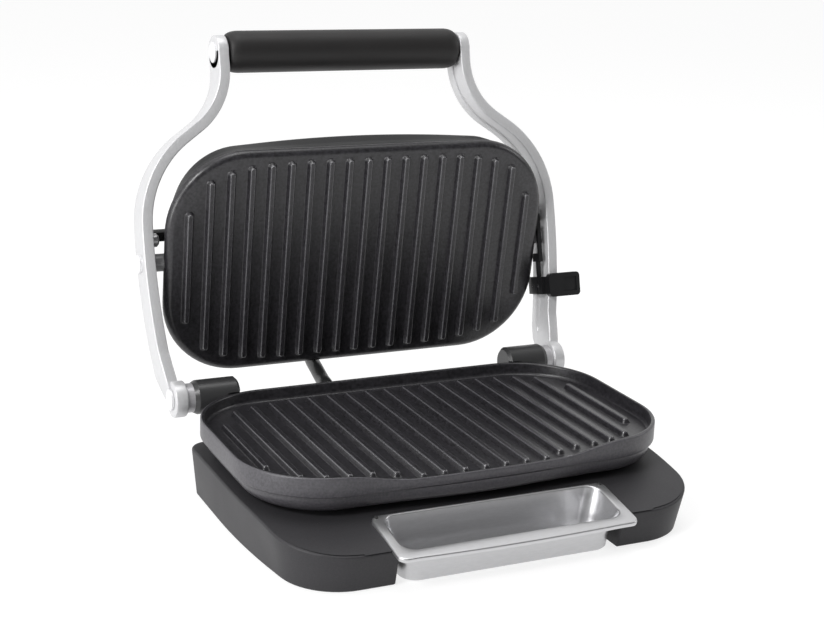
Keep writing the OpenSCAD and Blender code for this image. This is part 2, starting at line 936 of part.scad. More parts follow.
// Tube swept along points, closed at both ends
module swept_tube(pts, r, sides) {
    n = len(pts);
    function dir(i) =
        let (d = pts[min(i + 1, n - 1)] - pts[max(i - 1, 0)]) d / norm(d);
    rings = [for (i = [0:n - 1])
        let (d = dir(i), u = cross([1, 0, 0], d) / norm(cross([1, 0, 0], d)), v = cross(d, u))
        for (k = [0:sides - 1]) pts[i] + r * (cos(360 * k / sides) * u + sin(360 * k / sides) * v)];
    walls = [for (i = [0:n - 2], k = [0:sides - 1])
        let (m = (k + 1) % sides)
        [i * sides + k, (i + 1) * sides + k, (i + 1) * sides + m, i * sides + m]];
    start_cap = [for (k = [0:sides - 1]) k];
    end_cap = [for (k = [sides - 1:-1:0]) (n - 1) * sides + k];
    polyhedron(concat(rings), concat(walls, [start_cap], [end_cap]), convexity = 4);
}

// Lead between the base and the lid, as it lies with the lid open
module lid_lead() {
    steps = 4;
    spans = len(lead_route) - 1;
    pts = [for (i = [0:spans * steps]) route_point(lead_route, i / steps)];
    color([0.07, 0.07, 0.07])
        swept_tube(pts, lead_r, 12);
}

// Part of the slider that lies on the arm's inner face
module lock_block() {
    color([0.06, 0.06, 0.06])
        in_arm_frame()
            translate([slider_inner - block_t, arm_front + 1.8, slider_s - block_h / 2])
                difference() {
                    cube([block_t, arm_depth - 2.6, block_h]);
                    translate([-1, 7, -1])
                        cube([1.8, 0.8, block_h + 2]);
                }
}

block_h = 13.6;

// Inner face of the arm, with its raised band, at the slider
slider_inner = arm_x - arm_t / 2 - band_t - play
    - bow_r + sqrt(pow(bow_r, 2) - pow(slider_s - block_h / 2 - bow_s, 2));
block_t = slider_inner - hx - 2 * play;

// Thumb tab in front of the arm, joined to the block round the arm's front edge
module lock_tab() {
    y0 = arm_front - play - 5;
    color([0.05, 0.05, 0.05])
        in_arm_frame()
            difference() {
                union() {
                    translate([slider_inner, y0, slider_s])
                        rotate([-90, 0, 0])
                            linear_extrude(5)
                                translate([tab_w / 2, 0])
                                    round_rect(tab_w, tab_h, 3);
                    translate([slider_inner, y0, slider_s - block_h / 2])
                        cube([band_t, arm_front + 4 - y0, block_h]);
                }
                translate([slider_inner + tab_w - 14, y0 - 1, slider_s - 5.5])
                    cube([11, 2, 11]);
            }
}

// Thin bar that links the slider with the latch hook beside the head's stop pin
module lock_bar() {
    color([0.06, 0.06, 0.06])
        in_arm_frame() {
            translate([slider_inner - block_t, arm_front + 7, slider_s + block_h / 2])
                cube([block_t, 2.4, 14]);
            translate([slider_inner - block_t, arm_front + 3.2, slider_s + 19])
                cube([block_t, 11, 6.5]);
            translate([slider_inner - block_t, arm_front + 3.2, slider_s + 25])
                cube([block_t, 2.6, 10]);
            translate([slider_inner - block_t, arm_front + 3.2, slider_s + 33])
                cube([block_t, 2.6, 24]);
        }
}

// Two small rivets on the block
module lock_rivets() {
    color([0.75, 0.75, 0.76])
        in_arm_frame()
            for (y = [8.5, 15.5])
                translate([slider_inner - block_t - 0.4, arm_front + y, slider_s - 0.5])
                    rotate([0, 90, 0])
                        cylinder(r = 1, h = 0.4);
}

// Outline of the tray's flange in its own plane, slightly bowed at the front
module flange_outline() {
    r = 6;
    bow_r = 1500;
    translate([0, -tray_d / 2])
        round_rect(tray_w, tray_d, r);
    intersection() {
        translate([0, bow_r - tray_d - 1.6])
            circle(bow_r, $fn = 900);
        translate([-tray_w / 2 + r, -tray_d - 4])
            square([tray_w - 2 * r, 20]);
    }
}

// Thin slab across the tray's tub, from back to front at height z
module tub_slab(half, back, front, z, grow) {
    translate([0, (back + front) / 2, z])
        linear_extrude(0.1)
            round_rect(2 * (half + grow), back - front + 2 * grow, 8 + grow, $fn = 32);
}

// Shape of the tray's tub in three stages: flared mouth, wall and rounded foot
module tub(grow) {
    mid_z = 13 - grow;
    foot_z = tray_bottom + tray_t + 2.2 - grow;
    hull() {
        on_flange()
            translate([0, -21.5, grow > 0 ? -tray_t : 0.2])
                linear_extrude(0.1)
                    round_rect(2 * (pocket_half + grow), 38 + 2 * grow, 9 + grow, $fn = 32);
        tub_slab(tub_half, -96.5, tub_front, mid_z, grow);
    }
    hull() {
        tub_slab(tub_half, -96.5, tub_front, mid_z, grow);
        tub_slab(tub_half - 1, -97, tub_front, foot_z, grow);
    }
    hull() {
        tub_slab(tub_half - 1, -97, tub_front, foot_z, grow);
        tub_slab(tub_half - 3, -99, tub_front + 2, tray_bottom + tray_t - grow, grow);
    }
}

// Silver drip tray: sloping flange with a folded front edge, and a flared tub
module drip_tray() {
    color([0.78, 0.79, 0.8])
        difference() {
            union() {
                on_flange()
                    translate([0, 0, -tray_t])
                        linear_extrude(tray_t)
                            flange_outline();
                on_flange()
                    translate([0, 0, -3])
                        linear_extrude(3 - tray_t / 2)
                            difference() {
                                flange_outline();
                                translate([0, tray_t])
                                    flange_outline();
                            }
                tub(tray_t);
            }
            tub(0);
        }
}

// Small dark studs in the back corners of the tray's flange
module tray_studs() {
    color([0.12, 0.12, 0.12])
        on_flange()
            for (s = [-1, 1])
                translate([s * (tray_w / 2 - 3.5), -2.6, 0])
                    cylinder(r = 1.3, h = 0.8);
}

base_housing();
bottom_cover();
cover_screws();
foot_pads();
lower_pan();
lower_plate();
lower_element();
lower_thermostat();
hinge_bracket_left();
hinge_bracket_right();
hinge_collar_left();
hinge_collar_right();
hinge_pin_left();
hinge_pin_right();
mains_gland();
lead_gland_base();
arm_left();
arm_right();
handle_grip();
handle_rod();
handle_caps();
pivot_pin_left();
pivot_pin_right();
stop_pins();
upper_plate();
upper_housing();
upper_element();
upper_thermostat();
lead_gland_lid();
lock_block();
lock_tab();
lock_bar();
lock_rivets();
drip_tray();
tray_studs();
lid_lead();
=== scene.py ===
import math
import bmesh
import bpy
import numpy as np
from mathutils import Matrix, Vector


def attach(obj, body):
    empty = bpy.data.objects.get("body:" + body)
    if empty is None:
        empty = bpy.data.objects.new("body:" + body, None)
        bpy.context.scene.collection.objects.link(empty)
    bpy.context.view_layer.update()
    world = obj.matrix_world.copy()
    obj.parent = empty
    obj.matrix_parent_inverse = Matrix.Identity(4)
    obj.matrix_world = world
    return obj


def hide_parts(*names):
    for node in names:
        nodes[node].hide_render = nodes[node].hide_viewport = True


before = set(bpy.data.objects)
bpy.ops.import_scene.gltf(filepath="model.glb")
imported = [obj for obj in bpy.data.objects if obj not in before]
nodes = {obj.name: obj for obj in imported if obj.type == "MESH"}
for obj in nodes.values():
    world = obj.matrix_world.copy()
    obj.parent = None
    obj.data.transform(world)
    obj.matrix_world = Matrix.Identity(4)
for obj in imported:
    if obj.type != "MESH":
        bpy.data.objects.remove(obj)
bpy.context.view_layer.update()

# ---------------------------------------------------------------------------
# The view. A camera in front, a little to the left and above, looks down at
# the open grill. Its lens is long, so the edges stay nearly parallel.
# ---------------------------------------------------------------------------
view_turn = math.radians(-25.468)
view_rise = math.radians(15.821)
view_roll = math.radians(2.150)
view_place = Vector((-0.45877, -0.92833, 0.42883))
view_back = Vector((math.sin(view_turn) * math.cos(view_rise), -math.cos(view_turn) * math.cos(view_rise),
                    math.sin(view_rise)))
view_side = Vector((math.cos(view_turn), math.sin(view_turn), 0))
view_up = view_back.cross(view_side)
view_right = view_side * math.cos(view_roll) + view_up * math.sin(view_roll)
view_top = view_up * math.cos(view_roll) - view_side * math.sin(view_roll)
lens = bpy.data.cameras.new("camera")
lens.lens = 68.98
lens.sensor_width = 36
lens.clip_start = 0.05
lens.clip_end = 20
camera = bpy.data.objects.new("camera", lens)
bpy.context.scene.collection.objects.link(camera)
camera.matrix_world = Matrix.Translation(view_place) @ Matrix((view_right, view_top, view_back)).transposed().to_4x4()
bpy.context.scene.camera = camera
bpy.context.scene.view_settings.view_transform = "Standard"

# ---------------------------------------------------------------------------
# The light. A pale room: white behind and above, greyer in front, so that
# gloss on the object fades from its far side to its near side.
# ---------------------------------------------------------------------------
def sum_of(tree, first, second, clamp=False):
    """Sum of two outputs of nodes."""
    add = tree.nodes.new("ShaderNodeMath")
    add.operation = "ADD"
    add.use_clamp = clamp
    tree.links.new(first, add.inputs[0])
    tree.links.new(second, add.inputs[1])
    return add.outputs[0]


def times(tree, first, second):
    """Product of an output and of another output or a number."""
    product = tree.nodes.new("ShaderNodeMath")
    product.operation = "MULTIPLY"
    tree.links.new(first, product.inputs[0])
    if isinstance(second, float):
        product.inputs[1].default_value = second
    else:
        tree.links.new(second, product.inputs[1])
    return product.outputs[0]


def gloss_rays(tree, path):
    """1 for the rays that gloss and clear pieces send out, by which they show what is around them."""
    return sum_of(tree, path.outputs["Is Glossy Ray"], path.outputs["Is Transmission Ray"])


def between(tree, value, low, high, at_low=0.0, at_high=1.0, kind="SMOOTHSTEP"):
    """Value led from one level to another while it goes from low to high."""
    ramp = tree.nodes.new("ShaderNodeMapRange")
    ramp.interpolation_type = kind
    ramp.inputs["From Min"].default_value = low
    ramp.inputs["From Max"].default_value = high
    ramp.inputs["To Min"].default_value = at_low
    ramp.inputs["To Max"].default_value = at_high
    tree.links.new(value, ramp.inputs["Value"])
    return ramp.outputs[0]


white_side = (-0.42, 0.85, 0.32)
room = bpy.data.worlds.new("room")
bpy.context.scene.world = room
room.use_nodes = True
tree = room.node_tree
tree.nodes.clear()
where = tree.nodes.new("ShaderNodeTexCoord")
aim = tree.nodes.new("ShaderNodeVectorMath")
aim.operation = "DOT_PRODUCT"
aim.inputs[1].default_value = white_side
tree.links.new(where.outputs["Generated"], aim.inputs[0])
around = tree.nodes.new("ShaderNodeBackground")
tree.links.new(between(tree, aim.outputs["Value"], -0.55, 0.45, 0.16, 0.95), around.inputs["Strength"])
white = tree.nodes.new("ShaderNodeBackground")
white.inputs["Color"].default_value = (1, 1, 1, 1)
white.inputs["Strength"].default_value = 1.0
path = tree.nodes.new("ShaderNodeLightPath")
behind = between(tree, aim.outputs["Value"], -0.1, 0.45)
seen = sum_of(tree, times(tree, gloss_rays(tree, path), behind), path.outputs["Is Camera Ray"])
mix = tree.nodes.new("ShaderNodeMixShader")
tree.links.new(seen, mix.inputs[0])
tree.links.new(around.outputs[0], mix.inputs[1])
tree.links.new(white.outputs[0], mix.inputs[2])
out = tree.nodes.new("ShaderNodeOutputWorld")
tree.links.new(mix.outputs[0], out.inputs["Surface"])


def lamp(name, place, target, size, power):
    """Square soft box of a given side, at a place, facing a target."""
    light = bpy.data.lights.new(name, "AREA")
    light.shape = "SQUARE"
    light.size = size
    light.energy = power
    obj = bpy.data.objects.new(name, light)
    obj.location = place
    obj.rotation_mode = "QUATERNION"
    obj.rotation_quaternion = (Vector(target) - Vector(place)).to_track_quat("-Z", "Y")
    bpy.context.scene.collection.objects.link(obj)


lamp("key_light", (-1.5, -0.8, 1.5), (0, 0, 0.12), 0.55, 20)
lamp("top_light", (0.1, 0.1, 2.0), (0, 0, 0.1), 0.9, 8)
lamp("low_light", (-1.7, -0.5, 0.35), (0, 0, 0.08), 0.6, 10)
lamp("side_light", (1.7, -0.3, 0.9), (0, 0, 0.1), 0.7, 5)


# ---------------------------------------------------------------------------
# The table: a large white sheet that shows only the soft shadow of the grill.
# It glows a little to the eye, so that it runs out into the white behind it.
# ---------------------------------------------------------------------------
def surface_mesh(name, patches, place=None):
    """Mesh of one or more patches. Each is a grid of points in millimetres, rows x columns x 3, whose columns
    close on themselves where the patch says so; points that coincide are merged, so seams and poles close."""
    points, faces, first = [], [], 0
    for grid, closed in patches:
        grid = np.asarray(grid, float)
        n, m = grid.shape[:2]
        i, j = np.meshgrid(np.arange(n - 1), np.arange(m if closed else m - 1), indexing="ij")
        k = (j + 1) % m
        quads = np.stack([i * m + j, i * m + k, (i + 1) * m + k, (i + 1) * m + j], -1).reshape(-1, 4)
        points.append(grid.reshape(-1, 3))
        faces.append(quads + first)
        first += n * m
    points = np.concatenate(points)
    if place is not None:
        points = points @ place[:3, :3].T + place[:3, 3]
    mesh = bpy.data.meshes.new(name)
    mesh.from_pydata(points * 0.001, [], np.concatenate(faces).tolist())
    work = bmesh.new()
    work.from_mesh(mesh)
    bmesh.ops.remove_doubles(work, verts=work.verts, dist=1e-6)
    bmesh.ops.recalc_face_normals(work, faces=work.faces)
    work.to_mesh(mesh)
    work.free()
    return mesh


def put(name, mesh, finish, sharp=35):
    """Object of a mesh at the origin, smooth but for edges that turn by more than sharp degrees."""
    mesh.shade_smooth()
    mesh.set_sharp_from_angle(angle=math.radians(sharp))
    mesh.materials.append(finish)
    obj = bpy.data.objects.new(name, mesh)
    bpy.context.scene.collection.objects.link(obj)
    return obj


table_half = 6000.0
table_z = -0.3
glow_share = 0.60
table = bpy.data.materials.new("table_white")
table.use_nodes = True
tree = table.node_tree
tree.nodes.clear()
paint = tree.nodes.new("ShaderNodeBsdfDiffuse")
paint.inputs["Color"].default_value = (0.80, 0.80, 0.80, 1)
glow = tree.nodes.new("ShaderNodeEmission")
glow.inputs["Strength"].default_value = 1.30
path = tree.nodes.new("ShaderNodeLightPath")
seen = sum_of(tree, path.outputs["Is Camera Ray"], gloss_rays(tree, path), clamp=True)
mix = tree.nodes.new("ShaderNodeMixShader")
tree.links.new(times(tree, seen, glow_share), mix.inputs[0])
tree.links.new(paint.outputs[0], mix.inputs[1])
tree.links.new(glow.outputs[0], mix.inputs[2])
out = tree.nodes.new("ShaderNodeOutputMaterial")
tree.links.new(mix.outputs[0], out.inputs["Surface"])
gx, gy = np.meshgrid(*[np.linspace(-table_half, table_half, 3)] * 2, indexing="ij")
floor = put("table", surface_mesh("table", [(np.stack([gx, gy, np.full_like(gx, table_z)], -1), False)]), table)


# ---------------------------------------------------------------------------
# Base housing. Moulded in dark heat-proof plastic with a fine spark texture:
# a deck that bends down to the front, walls that lean in, and a bay for the tray.
# ---------------------------------------------------------------------------
broad_scale = 18.0


def finish(name, colour, rough, metal=0.0, spread=0.08, grain=0.35, bump=0.012, stretch=(1, 1, 1), gloss=0.5,
           uneven=0.08):
    """Finish whose colour, gloss and level are broken by noise: colour times 1 -/+ spread, rough -/+ uneven.
    grain is the size of the pattern in millimetres and bump its height; stretch draws it out along an axis."""
    mat = bpy.data.materials.new(name)
    mat.use_nodes = True
    tree = mat.node_tree
    bsdf = tree.nodes["Principled BSDF"]
    bsdf.inputs["Metallic"].default_value = metal
    bsdf.inputs["Specular IOR Level"].default_value = gloss
    where = tree.nodes.new("ShaderNodeTexCoord")
    turn = tree.nodes.new("ShaderNodeMapping")
    turn.inputs["Scale"].default_value = stretch
    tree.links.new(where.outputs["Object"], turn.inputs["Vector"])
    fine = tree.nodes.new("ShaderNodeTexNoise")
    fine.inputs["Scale"].default_value = 1000.0 / grain / 2
    fine.inputs["Detail"].default_value = 2.0
    tree.links.new(turn.outputs[0], fine.inputs["Vector"])
    broad = tree.nodes.new("ShaderNodeTexNoise")
    broad.inputs["Scale"].default_value = broad_scale
    broad.inputs["Detail"].default_value = 3.0
    tree.links.new(where.outputs["Object"], broad.inputs["Vector"])
    ramp = tree.nodes.new("ShaderNodeValToRGB")
    ramp.color_ramp.elements[0].position = 0.3
    ramp.color_ramp.elements[1].position = 0.7
    ramp.color_ramp.elements[0].color = [c * (1 - spread) for c in colour] + [1]
    ramp.color_ramp.elements[1].color = [min(1, c * (1 + spread)) for c in colour] + [1]
    tree.links.new(fine.outputs[0], ramp.inputs[0])
    tree.links.new(ramp.outputs[0], bsdf.inputs["Base Color"])
    gloss_level = between(tree, broad.outputs[0], 0.3, 0.7, rough - uneven / 2, rough + uneven / 2, "LINEAR")
    tree.links.new(gloss_level, bsdf.inputs["Roughness"])
    relief = tree.nodes.new("ShaderNodeBump")
    relief.inputs["Strength"].default_value = 1.0
    relief.inputs["Distance"].default_value = bump * 0.001
    tree.links.new(fine.outputs[0], relief.inputs["Height"])
    tree.links.new(relief.outputs[0], bsdf.inputs["Normal"])
    return mat


def dress(mat, *names):
    """Gives a CAD node's slots a finish."""
    for name in names:
        for s in nodes[name].material_slots:
            s.material = mat


def coat(obj, finish, where, place=None):
    """Second finish on the faces whose middles where() picks, given in millimetres in the place's frame."""
    mesh = obj.data
    mesh.materials.append(finish)
    middle, index = np.empty(len(mesh.polygons) * 3), np.zeros(len(mesh.polygons), np.int32)
    mesh.polygons.foreach_get("center", middle)
    mesh.polygons.foreach_get("material_index", index)
    middle = middle.reshape(-1, 3) * 1000
    if place is not None:
        middle = (middle - place[:3, 3]) @ place[:3, :3]
    index[where(middle)] = len(mesh.materials) - 1
    mesh.polygons.foreach_set("material_index", index)


housing_dark = finish("housing_dark", (0.035, 0.034, 0.037), 0.50, spread=0.12, grain=0.5, bump=0.02, gloss=0.3)
deck_z = 33.5
bend_y = -35.0
front_y = -131.0
deck_drop = 8.2
bend_r = ((front_y - bend_y) ** 2 + deck_drop ** 2) / (2 * deck_drop)
half_w = 153.5
rear_y = 69.0
bay_half = 79.5
bay_back = -88.0
beam_half = 118.0
beam_back = 112.0
beam_corner = 10.0
deck_round = 1.8
side_turn_y = -37.0
side_turn_r = 600.0
rear_corner = 12.8
wall_t = 3.0
foot_edge = 0.8
lip_h = 6.0


def deck_level(y):
    """Height of the deck: level behind the bend, and a large arc that falls to the front edge."""
    fall = bend_r - np.sqrt(bend_r ** 2 - np.minimum(y - bend_y, 0) ** 2)
    return deck_z - fall


def rounded(corners, radii, steps):
    """Closed path through corners in the plane, each turned into an arc of its own radius with steps points."""
    p = np.asarray(corners, float)
    a = np.roll(p, 1, 0) - p
    b = np.roll(p, -1, 0) - p
    a /= np.linalg.norm(a, axis=1)[:, None]
    b /= np.linalg.norm(b, axis=1)[:, None]
    half = np.arccos(np.clip((a * b).sum(1), -1, 1)) / 2
    reach = np.asarray(radii, float) / np.tan(half)
    mid = a + b
    mid /= np.linalg.norm(mid, axis=1)[:, None]
    centre = p + mid * (np.asarray(radii, float) / np.sin(half))[:, None]
    start = np.arctan2(*(p + a * reach[:, None] - centre).T[::-1])
    end = np.arctan2(*(p + b * reach[:, None] - centre).T[::-1])
    sweep = (end - start + math.pi) % (2 * math.pi) - math.pi
    t = start[:, None] + sweep[:, None] * np.linspace(0, 1, steps)[None]
    arcs = centre[:, None] + np.asarray(radii, float)[:, None, None] * np.stack([np.cos(t), np.sin(t)], -1)
    return arcs.reshape(-1, 2)


def fill_in(path, longest):
    """Path with points added on its long stretches, so that none is longer than a given length. Returns the
    points as weights: the index of the stretch and the share along it, to use the same points on other paths."""
    length = np.linalg.norm(np.roll(path, -1, 0) - path, axis=1)
    count = np.maximum(1, np.ceil(length / longest)).astype(int)
    index = np.repeat(np.arange(len(path)), count)
    share = np.concatenate([np.arange(c) / c for c in count])
    return index, share


def base_corners(wide, taper, front, corner, back):
    """Corner points and radii of the base's outline at one level, from the bay's back edge round to it again. The
    side line runs from a point well behind the bend, and touches the front corner's arc."""
    dx, dy = taper + corner, side_turn_y + front - corner
    lean = math.acos(corner / math.hypot(dx, dy)) - math.atan2(dy, dx)
    foot = wide - (side_turn_y + front) * math.tan(lean)
    right = [(bay_half, bay_back, 2.5), (bay_half, -front, 1.5), (foot, -front, corner),
             (wide, side_turn_y, side_turn_r), (wide, back, rear_corner), (beam_half, back, 1.0),
             (beam_half, beam_back, beam_corner)]
    both = right + [(-x, y, r) for x, y, r in right[::-1]]
    return [(x, y) for x, y, r in both], [r for x, y, r in both]


high = rounded(*base_corners(half_w, 4, -front_y, 46.5, rear_y), 14)
low = rounded(*base_corners(half_w - 2.8, 7.5, -front_y - 7, 39.5, rear_y - 2.8), 14)
index, share = fill_in(high, 12)
high, low = (line[index] + (np.roll(line, -1, 0)[index] - line[index]) * share[:, None] for line in (high, low))
ahead = np.roll(high, -1, 0) - np.roll(high, 1, 0)
outward = np.stack([ahead[:, 1], -ahead[:, 0]], -1) / np.linalg.norm(ahead, axis=1)[:, None]
top = deck_level(high[:, 1])


def base_row(z, inset):
    """Ring of the base's wall at height z, moved in by inset from the leaning wall."""
    at = low + (high - low) * (z / deck_z)[:, None] - outward * inset
    return np.column_stack([at, z])


rows = [base_row(np.full_like(top, z), inset) for z, inset in (
    (lip_h, wall_t), (0.1, wall_t), (0.0, foot_edge), (foot_edge, 0.0))]
rows += [base_row(foot_edge + (top - deck_round - foot_edge) * k, 0.0) for k in (0.35, 0.7, 1.0)]
for a in np.radians([18, 36, 54, 72, 90]):
    rows.append(base_row(top - deck_round * (1 - math.sin(a)), deck_round * (1 - math.cos(a))))
rim = rows[-1]
tuck = base_row(top, deck_round + 3.0)
tuck[:, 2] = deck_level(tuck[:, 1])
rows.append(tuck)
side_edge = rim[(rim[:, 0] > 100)]
side_edge = side_edge[np.argsort(side_edge[:, 1])]
bay_edge = bay_back + deck_round
rear_edge = rear_y - deck_round
rear_bend = 54.0
front_rows = front_y + deck_round + (46 - deck_round) * (1 - np.cos(np.linspace(0, math.pi / 2, 26)))
front_rows = np.append(front_rows[front_rows < bay_edge], bay_edge - 0.01)
rear_rows = rear_bend + (rear_edge - rear_bend) * np.sin(np.linspace(0, math.pi / 2, 8))
rear_rows = np.concatenate([np.linspace(bay_edge, rear_bend, 30), rear_rows])


def deck_patch(ys, x_from, x_to):
    """Part of the deck between two side lines, rows at the given distances back, just above the wall's tuck."""
    x = x_from[:, None] + (x_to - x_from)[:, None] * np.linspace(0, 1, 9)
    y = np.repeat(ys[:, None], 9, 1)
    return np.stack([x, y, deck_level(y) + 0.02], -1), False


side_line = np.interp(front_rows, side_edge[:, 1], side_edge[:, 0])
inner_line = np.full_like(side_line, bay_half + deck_round)
rear_line = np.interp(rear_rows, side_edge[:, 1], side_edge[:, 0])
beam_rows = np.linspace(rear_edge, beam_back - deck_round, 8)
past_corner = np.maximum(0, beam_rows - (beam_back - beam_corner))
beam_line = np.minimum(beam_half - deck_round, beam_half - beam_corner + np.sqrt(
    np.maximum(0, (beam_corner - deck_round) ** 2 - past_corner ** 2)))
shell = surface_mesh("base_shell", [
    (np.array(rows), True),
    deck_patch(front_rows, inner_line, side_line),
    deck_patch(front_rows, -side_line, -inner_line),
    deck_patch(rear_rows, -rear_line, rear_line),
    deck_patch(beam_rows, -beam_line, beam_line)])
base_shell = put("base_shell", shell, housing_dark)
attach(base_shell, "base")
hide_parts("base_housing")

# ---------------------------------------------------------------------------
# Bottom of the base: a grey sheet held by four screws, with rubber pads.
# ---------------------------------------------------------------------------
dress(finish("cover_sheet", (0.10, 0.10, 0.105), 0.45, metal=0.6, grain=0.6), "bottom_cover")
dress(finish("screw_steel", (0.55, 0.55, 0.57), 0.3, metal=1.0, spread=0.03), "cover_screws")
dress(finish("rubber_black", (0.018, 0.018, 0.018), 0.7, bump=0.03), "foot_pads", "mains_gland", "lead_gland_base",
      "lead_gland_lid")

# ---------------------------------------------------------------------------
# Heaters and thermostats, hidden between the plates and their housings.
# ---------------------------------------------------------------------------
dress(finish("heater_steel", (0.20, 0.19, 0.18), 0.5, metal=1.0), "lower_element", "upper_element")
dress(finish("thermostat_body", (0.5, 0.48, 0.45), 0.6), "lower_thermostat", "upper_thermostat")

# ---------------------------------------------------------------------------
# Lower cooking plate. Cast aluminium with a charcoal non-stick coat that is
# finely speckled: a raised rim that sinks to a pouring lip, and 19 ribs.
# ---------------------------------------------------------------------------
plate_nonstick = finish("plate_nonstick", (0.021, 0.020, 0.023), 0.33, spread=0.6, grain=1.0, bump=0.05, uneven=0.05,
                        gloss=0.6)
# Rib crest edges: a lighter colour as a painted highlight, with a glossier coat.
crest_painted_highlight = finish("crest_painted_highlight", (0.085, 0.083, 0.090), 0.22, spread=0.3, grain=0.8, bump=0.008, uneven=0.04,
                     gloss=0.9)
# Outer wall of the plate: a lighter copy of the same coat, as painted light for the light that falls on the wall from
# the left and front.
plate_wall_painted_light = finish("plate_wall_painted_light", (0.068, 0.065, 0.073), 0.42, spread=0.25, grain=0.8, bump=0.02, gloss=0.6)
plate_half_w = 151.0
plate_half_d = 85.0
plate_corner = 59.0
crest_z = 55.0
rib_h = 3.5
rib_pitch = 15.0
rib_number = np.arange(19) - 9
rib_places = rib_number * rib_pitch
rib_foot = 3.3
rib_slope = 1.7
rib_end_in = 2.6
rib_end_round = 2.4
crest_soft = 0.006
rib_skirt = 0.3


def fade(x, a, b):
    """1 up to distance a from the middle, 0 beyond b, and half a cosine wave between."""
    t = np.clip((np.abs(x) - a) / (b - a), 0, 1)
    return 0.5 + 0.5 * np.cos(np.pi * t)


def plate_path(w, d, r, steps=18, across=36):
    """Rounded rectangle as centres and directions: a ring r - inset out from its centres follows the outline
    moved in by inset. Corners have steps points, and the long and short sides are divided evenly."""
    turn = np.linspace(0, math.pi / 2, steps)
    centres, ways = [], []
    for q, (sx, sy) in enumerate([(1, 1), (-1, 1), (-1, -1), (1, -1)]):
        a = turn + q * math.pi / 2
        way = np.stack([np.cos(a), np.sin(a)], -1)
        spot = np.array([sx * (w - r), sy * (d - r)])
        centres.append(np.repeat(spot[None], steps, 0))
        ways.append(way)
        ex, ey = [(-1, 1), (-1, -1), (1, -1), (1, 1)][q]
        there = np.array([ex * (w - r), ey * (d - r)])
        n = across if q % 2 == 0 else 6
        t = np.arange(1, n) / n
        centres.append(spot + (there - spot) * t[:, None])
        ways.append(np.repeat(way[-1][None], n - 1, 0))
    return np.concatenate(centres), np.concatenate(ways)


def level(ring, z):
    """Ring in the plane as points at height z, which is one number or one for each point."""
    return np.column_stack([ring, np.broadcast_to(z, len(ring))])


def rib_patches(lip_over):
    """Ribs with their tops at z = 0. The level rises from rib_h below with nearness to the rib's middle line, by a
    distance that rounds the ends, and is held smoothly between foot and crest; the foot is sunk in the plate."""
    across_share = np.abs(rib_places) / (plate_half_w - 14.2)
    half = (plate_half_d - 8.5) * (1 - across_share ** 4.7) ** (1 / 4.7)
    number = np.abs(rib_number)
    front = half + np.where(number <= 3, lip_over, np.where(number == 4, lip_over / 3, 0))
    side = np.array([4.1, 3.7, 3.45, 3.3, 3.15, 2.9, 2.4, 1.95, 1.8, 1.68, 1.58, 1.45, 1.25, 0.8, 0.3])
    across = np.concatenate([-side, side[::-1]])
    tip = np.array([0, 0.3, 0.5, 0.7, 0.9, 1.2, 1.6, 1.9, 2.05, 2.2, 2.35, 2.6, 3.0, 3.6, 4.4, 5.2])
    patches = []
    for x, f, b in zip(rib_places, front, half):
        along = np.concatenate([-f - 1.3 + tip, np.linspace(-f + 6, b - 6, 9), (b + 1.3 - tip)[::-1]])
        gx, gy = np.meshgrid(across, along, indexing="ij")
        past = np.maximum(np.maximum(gy - (b - rib_end_in), -f + rib_end_in - gy), 0)
        away = (np.abs(gx) ** rib_end_round + past ** rib_end_round) ** (1 / rib_end_round)
        near = (rib_foot - away) / rib_slope
        rise = 0.5 * (1 + np.sqrt(near ** 2 + crest_soft) - np.sqrt((near - 1) ** 2 + crest_soft))
        gz = rib_h * (rise - 1) * 0.995
        gz[[0, -1], :] = gz[:, [0, -1]] = -rib_h - rib_skirt
        patches.append((np.stack([x + gx, gy, gz], -1), False))
    return patches


lower_half_w = plate_half_w + 2.8
lower_half_d = plate_half_d + 4
plate_ahead = 1.0
lip_bulge = 2.0
bulge_half = 95.0
lip_y = -60.0
rim_h = 5.6
lip_drop = 7.1
rim_t = 3.0
rim_r = 1.3
floor_z = -rib_h
floor_t = 4.5
centres, ways = plate_path(lower_half_w, lower_half_d, plate_corner)
outline = centres + plate_corner * ways
rim_z = rim_h - lip_drop * fade(outline[:, 0], 50, 106) * (outline[:, 1] < lip_y)
faces_front = ways[:, 1] < -0.9
bulge = np.where(faces_front, lip_bulge * fade(outline[:, 0], 0, bulge_half), 0)


def lower_ring(inset, z):
    """Ring of the lower plate, moved in from its outline, at height z."""
    at = centres + (plate_corner - np.asarray(inset)).reshape(-1, 1) * ways
    at[:, 1] -= bulge + plate_ahead
    return level(at, z)


def lower_middle(share, z):
    """Ring that shrinks with share towards the plate's middle."""
    at = centres * share
    at[:, 1] -= (bulge + plate_ahead) * share
    return level(at, z)


under = floor_z - floor_t
fillet = np.clip(rim_z - floor_z - 1.4, 0.4, 2.4)
rows = [lower_middle(k, under) for k in (0, 0.5, 1)]
rows += [lower_ring(0.9, under), lower_ring(0.25, under + 0.25), lower_ring(0.0, under + 0.9)]
rows += [lower_ring(0.0, under + 0.9 + (rim_z - rim_r - under - 0.9) * k) for k in (0.5, 1)]
for a in np.radians([22, 45, 68, 90]):
    rows.append(lower_ring(rim_r * (1 - math.cos(a)), rim_z - rim_r * (1 - math.sin(a))))
for a in np.radians([90, 68, 45, 22, 0]):
    rows.append(lower_ring(rim_t - rim_r * (1 - math.cos(a)), rim_z - rim_r * (1 - math.sin(a))))
for a in np.radians([0, 20, 40, 60, 80, 90]):
    rows.append(lower_ring(rim_t + fillet * (1 - math.cos(a)), floor_z + fillet * (1 - math.sin(a))))
rows += [lower_ring(20, floor_z), lower_ring(40, floor_z)]
rows += [lower_middle(k, floor_z) for k in (1, 0.5, 0)]
at_crest = np.eye(4)
at_crest[2, 3] = crest_z
lower_grid = put("lower_cooking_plate", surface_mesh(
    "lower_cooking_plate", [(np.array(rows), True)] + rib_patches(11.5), at_crest), plate_nonstick, 50)


